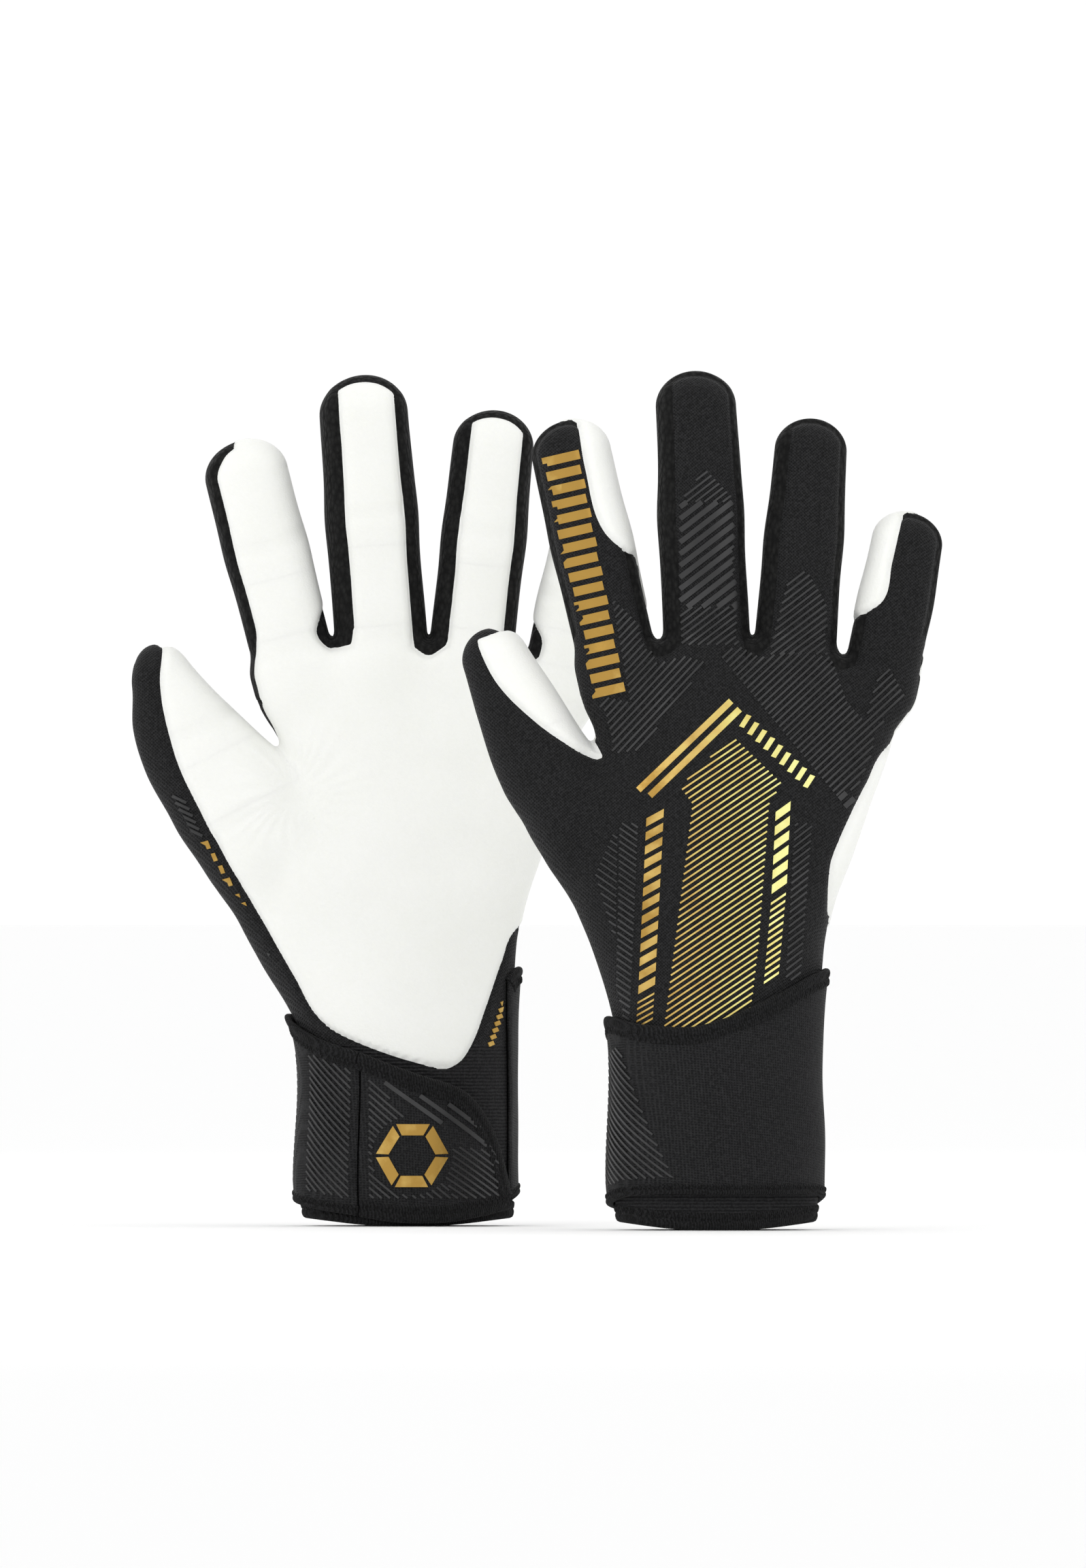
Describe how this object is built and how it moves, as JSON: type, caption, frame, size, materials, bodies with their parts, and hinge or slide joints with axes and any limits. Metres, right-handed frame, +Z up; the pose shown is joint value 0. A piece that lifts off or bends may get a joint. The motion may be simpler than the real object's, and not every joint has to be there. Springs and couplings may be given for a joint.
{
  "type": "goalkeeper gloves",
  "caption": "Pair of goalkeeper gloves standing on their cuffs: latex palms, fabric backs, bending finger stalls and thumbs, and wrist straps that peel open.",
  "frame": {"origin": "on the floor under the middle of the pair's bounding box", "axes": "+Z up along the fingers, +X across the pair from the thumbs' side, -Y out of the left glove's palm"},
  "size_m": [0.2549, 0.182, 0.2703],
  "materials": {
    "latex": "matt soft latex foam",
    "backhand_fabric": "matt knitted textile",
    "stall_fabric": "matt mesh knit",
    "lining_fabric": "brushed lining",
    "cuff_elastic": "ribbed elastic",
    "binding_tape": "overlocked tape",
    "strap_fabric": "woven elastic",
    "hook_and_loop": "hook and loop pile",
    "thread": "sewing thread",
    "gel_print": "raised semi-gloss gel print",
    "foil_print": "gold foil transfer"
  },
  "bodies": {
    "left_hand": {"left_palm_latex": "latex", "left_backhand": "backhand_fabric", "left_lining": "lining_fabric", "left_side_gussets": "stall_fabric", "left_cuff": "cuff_elastic", "left_cuff_binding": "binding_tape", "left_strap": "strap_fabric", "left_loop_pad": "hook_and_loop"},
    "left_flap": {"left_strap_flap": "strap_fabric", "left_hook_pad": "hook_and_loop"},
    "left_thumb_base": {"left_thumb_base_latex": "latex", "left_thumb_base_shell": "stall_fabric"},
    "left_thumb_tip": {"left_thumb_tip_latex": "latex", "left_thumb_tip_shell": "stall_fabric"},
    "left_index_base": {"left_index_base_latex": "latex", "left_index_base_shell": "stall_fabric"},
    "left_index_tip": {"left_index_tip_latex": "latex", "left_index_tip_shell": "stall_fabric"},
    "left_middle_base": {"left_middle_base_latex": "latex", "left_middle_base_shell": "stall_fabric"},
    "left_middle_tip": {"left_middle_tip_latex": "latex", "left_middle_tip_shell": "stall_fabric"},
    "left_ring_base": {"left_ring_base_latex": "latex", "left_ring_base_shell": "stall_fabric"},
    "left_ring_tip": {"left_ring_tip_latex": "latex", "left_ring_tip_shell": "stall_fabric"},
    "left_pinky_base": {"left_pinky_base_latex": "latex", "left_pinky_base_shell": "stall_fabric"},
    "left_pinky_tip": {"left_pinky_tip_latex": "latex", "left_pinky_tip_shell": "stall_fabric"},
    "right_hand": {"right_palm_latex": "latex", "right_backhand": "backhand_fabric", "right_lining": "lining_fabric", "right_side_gussets": "stall_fabric", "right_cuff": "cuff_elastic", "right_cuff_binding": "binding_tape", "right_strap": "strap_fabric", "right_loop_pad": "hook_and_loop"},
    "right_flap": {"right_strap_flap": "strap_fabric", "right_hook_pad": "hook_and_loop"},
    "right_thumb_base": {"right_thumb_base_latex": "latex", "right_thumb_base_shell": "stall_fabric"},
    "right_thumb_tip": {"right_thumb_tip_latex": "latex", "right_thumb_tip_shell": "stall_fabric"},
    "right_index_base": {"right_index_base_latex": "latex", "right_index_base_shell": "stall_fabric"},
    "right_index_tip": {"right_index_tip_latex": "latex", "right_index_tip_shell": "stall_fabric"},
    "right_middle_base": {"right_middle_base_latex": "latex", "right_middle_base_shell": "stall_fabric"},
    "right_middle_tip": {"right_middle_tip_latex": "latex", "right_middle_tip_shell": "stall_fabric"},
    "right_ring_base": {"right_ring_base_latex": "latex", "right_ring_base_shell": "stall_fabric"},
    "right_ring_tip": {"right_ring_tip_latex": "latex", "right_ring_tip_shell": "stall_fabric"},
    "right_pinky_base": {"right_pinky_base_latex": "latex", "right_pinky_base_shell": "stall_fabric"},
    "right_pinky_tip": {"right_pinky_tip_latex": "latex", "right_pinky_tip_shell": "stall_fabric"}
  },
  "joints": [
    {"name": "left_thumb_root_bend", "type": "hinge", "parent": "left_hand", "child": "left_thumb_base", "pos_m": [-0.0922, 0.065, 0.132], "axis": [0.8949, 0, 0.4462], "range_deg": [0, 50], "stiffness_Nm_per_rad": 0.05},
    {"name": "left_thumb_mid_bend", "type": "hinge", "parent": "left_thumb_base", "child": "left_thumb_tip", "pos_m": [-0.10469, 0.065, 0.15706], "axis": [0.8949, 0, 0.4462], "range_deg": [0, 60], "stiffness_Nm_per_rad": 0.03},
    {"name": "left_index_root_bend", "type": "hinge", "parent": "left_hand", "child": "left_index_base", "pos_m": [-0.0777, 0.065, 0.184], "axis": [0.9681, 0, 0.2504], "range_deg": [0, 70], "stiffness_Nm_per_rad": 0.05},
    {"name": "left_index_mid_bend", "type": "hinge", "parent": "left_index_base", "child": "left_index_tip", "pos_m": [-0.08546, 0.065, 0.21401], "axis": [0.9681, 0, 0.2504], "range_deg": [0, 72], "stiffness_Nm_per_rad": 0.03},
    {"name": "left_middle_root_bend", "type": "hinge", "parent": "left_hand", "child": "left_middle_base", "pos_m": [-0.049, 0.065, 0.187], "axis": [0.9972, 0, 0.075], "range_deg": [0, 70], "stiffness_Nm_per_rad": 0.05},
    {"name": "left_middle_mid_bend", "type": "hinge", "parent": "left_middle_base", "child": "left_middle_tip", "pos_m": [-0.05185, 0.065, 0.22489], "axis": [0.9972, 0, 0.075], "range_deg": [0, 72], "stiffness_Nm_per_rad": 0.03},
    {"name": "left_ring_root_bend", "type": "hinge", "parent": "left_hand", "child": "left_ring_base", "pos_m": [-0.0197, 0.065, 0.186], "axis": [0.9945, 0, -0.1045], "range_deg": [0, 70], "stiffness_Nm_per_rad": 0.05},
    {"name": "left_ring_mid_bend", "type": "hinge", "parent": "left_ring_base", "child": "left_ring_tip", "pos_m": [-0.01625, 0.065, 0.21882], "axis": [0.9945, 0, -0.1045], "range_deg": [0, 72], "stiffness_Nm_per_rad": 0.03},
    {"name": "left_pinky_root_bend", "type": "hinge", "parent": "left_hand", "child": "left_pinky_base", "pos_m": [0.0083, 0.065, 0.174], "axis": [0.9816, 0, -0.1908], "range_deg": [0, 70], "stiffness_Nm_per_rad": 0.05},
    {"name": "left_pinky_mid_bend", "type": "hinge", "parent": "left_pinky_base", "child": "left_pinky_tip", "pos_m": [0.01288, 0.065, 0.19756], "axis": [0.9816, 0, -0.1908], "range_deg": [0, 72], "stiffness_Nm_per_rad": 0.03},
    {"name": "left_strap_peel", "type": "hinge", "parent": "left_hand", "child": "left_flap", "pos_m": [-0.0604, 0.0424, 0.028], "axis": [0, 0, -1], "range_deg": [0, 150]},
    {"name": "right_thumb_root_bend", "type": "hinge", "parent": "right_hand", "child": "right_thumb_base", "pos_m": [0.0051, -0.065, 0.142], "axis": [-0.9367, 0, -0.3502], "range_deg": [0, 50], "stiffness_Nm_per_rad": 0.05},
    {"name": "right_thumb_mid_bend", "type": "hinge", "parent": "right_thumb_base", "child": "right_thumb_tip", "pos_m": [-0.00331, -0.065, 0.16448], "axis": [-0.9367, 0, -0.3502], "range_deg": [0, 60], "stiffness_Nm_per_rad": 0.03},
    {"name": "right_index_root_bend", "type": "hinge", "parent": "right_hand", "child": "right_index_base", "pos_m": [0.0251, -0.065, 0.184], "axis": [-0.9744, 0, -0.225], "range_deg": [0, 70], "stiffness_Nm_per_rad": 0.05},
    {"name": "right_index_mid_bend", "type": "hinge", "parent": "right_index_base", "child": "right_index_tip", "pos_m": [0.01768, -0.065, 0.21615], "axis": [-0.9744, 0, -0.225], "range_deg": [0, 72], "stiffness_Nm_per_rad": 0.03},
    {"name": "right_middle_root_bend", "type": "hinge", "parent": "right_hand", "child": "right_middle_base", "pos_m": [0.0539, -0.065, 0.187], "axis": [-0.999, 0, -0.0436], "range_deg": [0, 70], "stiffness_Nm_per_rad": 0.05},
    {"name": "right_middle_mid_bend", "type": "hinge", "parent": "right_middle_base", "child": "right_middle_tip", "pos_m": [0.05224, -0.065, 0.22496], "axis": [-0.999, 0, -0.0436], "range_deg": [0, 72], "stiffness_Nm_per_rad": 0.03},
    {"name": "right_ring_root_bend", "type": "hinge", "parent": "right_hand", "child": "right_ring_base", "pos_m": [0.0821, -0.065, 0.186], "axis": [-0.9969, 0, 0.0785], "range_deg": [0, 70], "stiffness_Nm_per_rad": 0.05},
    {"name": "right_ring_mid_bend", "type": "hinge", "parent": "right_ring_base", "child": "right_ring_tip", "pos_m": [0.08461, -0.065, 0.2179], "axis": [-0.9969, 0, 0.0785], "range_deg": [0, 72], "stiffness_Nm_per_rad": 0.03},
    {"name": "right_pinky_root_bend", "type": "hinge", "parent": "right_hand", "child": "right_pinky_base", "pos_m": [0.1091, -0.065, 0.174], "axis": [-0.9816, 0, 0.1908], "range_deg": [0, 70], "stiffness_Nm_per_rad": 0.05},
    {"name": "right_pinky_mid_bend", "type": "hinge", "parent": "right_pinky_base", "child": "right_pinky_tip", "pos_m": [0.11368, -0.065, 0.19756], "axis": [-0.9816, 0, 0.1908], "range_deg": [0, 72], "stiffness_Nm_per_rad": 0.03},
    {"name": "right_strap_peel", "type": "hinge", "parent": "right_hand", "child": "right_flap", "pos_m": [0.0369, -0.0424, 0.028], "axis": [0, 0, 1], "range_deg": [0, 150]},
    {"name": "pair_separation", "type": "slide", "parent": "left_hand", "child": "right_hand", "axis": [0, -1, 0], "range_m": [0, 0.2]}
  ]
}
